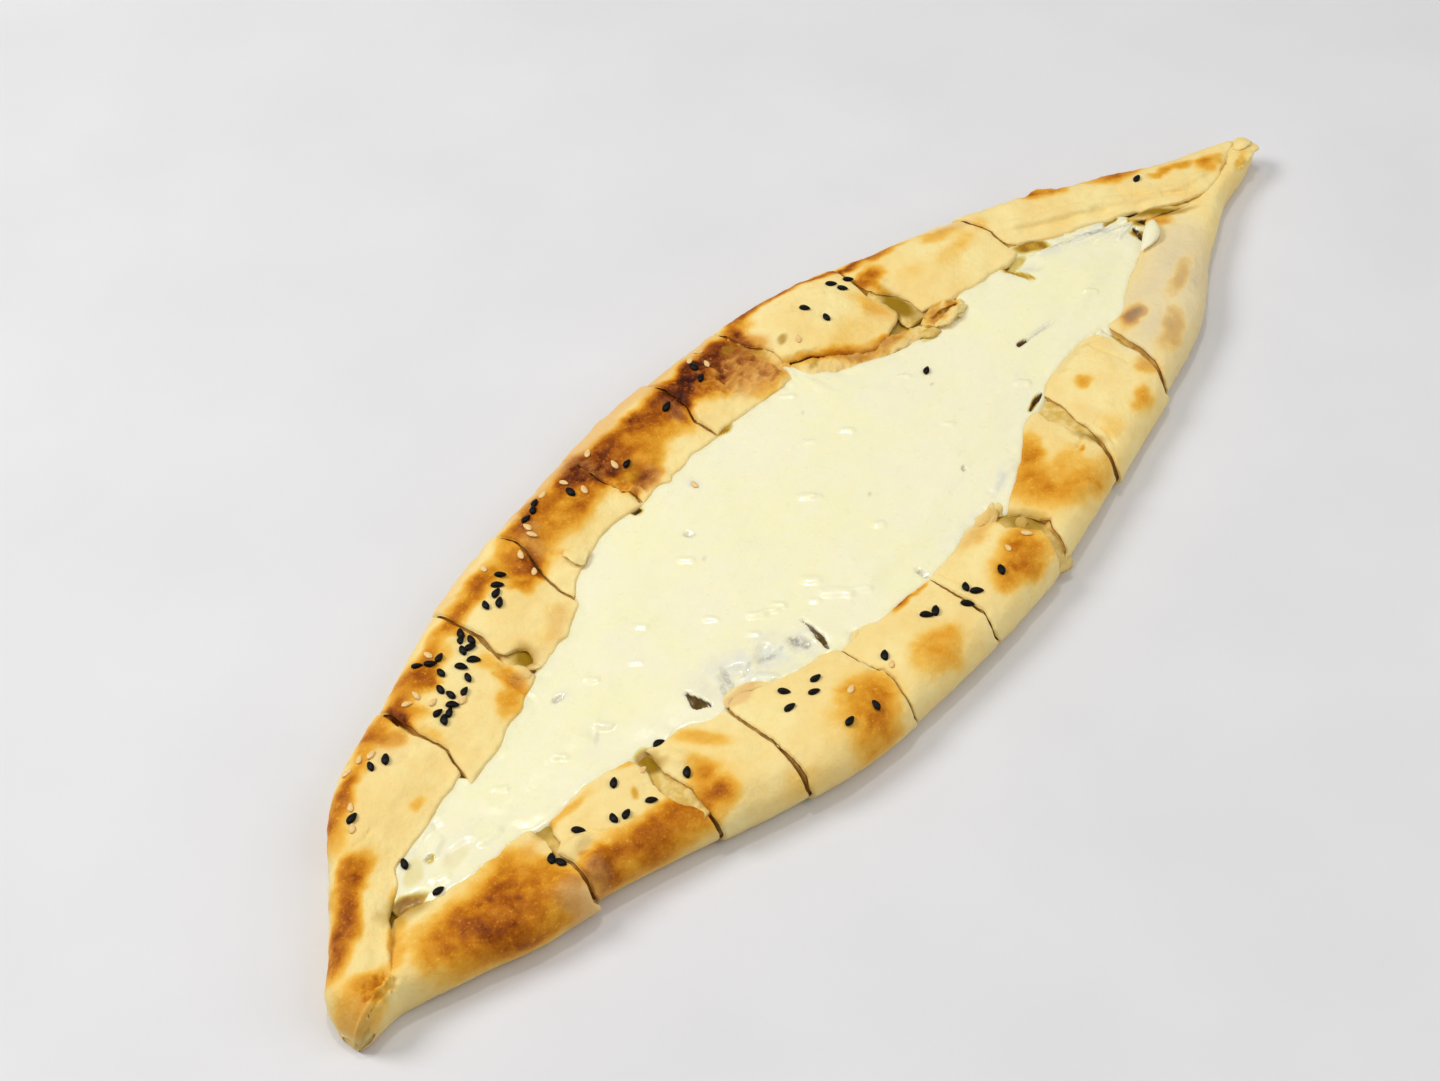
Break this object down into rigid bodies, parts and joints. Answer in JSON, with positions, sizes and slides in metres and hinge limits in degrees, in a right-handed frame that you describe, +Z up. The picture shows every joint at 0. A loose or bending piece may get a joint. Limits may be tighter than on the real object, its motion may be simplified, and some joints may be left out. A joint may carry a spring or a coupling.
{
  "type": "labneh flatbread",
  "caption": "Long boat-shaped flatbread, edges folded in over a soft white cheese filling, cut crosswise into slices that lie in place.",
  "frame": {"origin": "centre of the bounding box in plan, on the surface that the bread lies on", "axes": "+X along the length, from the blunt tip to the thin tip; +Y across; +Z up"},
  "size_m": [0.398, 0.1296, 0.0147],
  "materials": {
    "dough": "baked dough, dry and matt, pale gold with brown patches",
    "labneh": "soft strained yoghurt, cream white, moist and glossy"
  },
  "bodies": {
    "root": {"bread_slice_1": "dough", "bread_slice_2": "dough", "bread_slice_3": "dough", "bread_slice_4": "dough", "bread_slice_5": "dough", "bread_slice_6": "dough", "bread_slice_7": "dough", "bread_slice_8": "dough", "bread_slice_9": "dough", "filling": "labneh"}
  },
  "joints": []
}
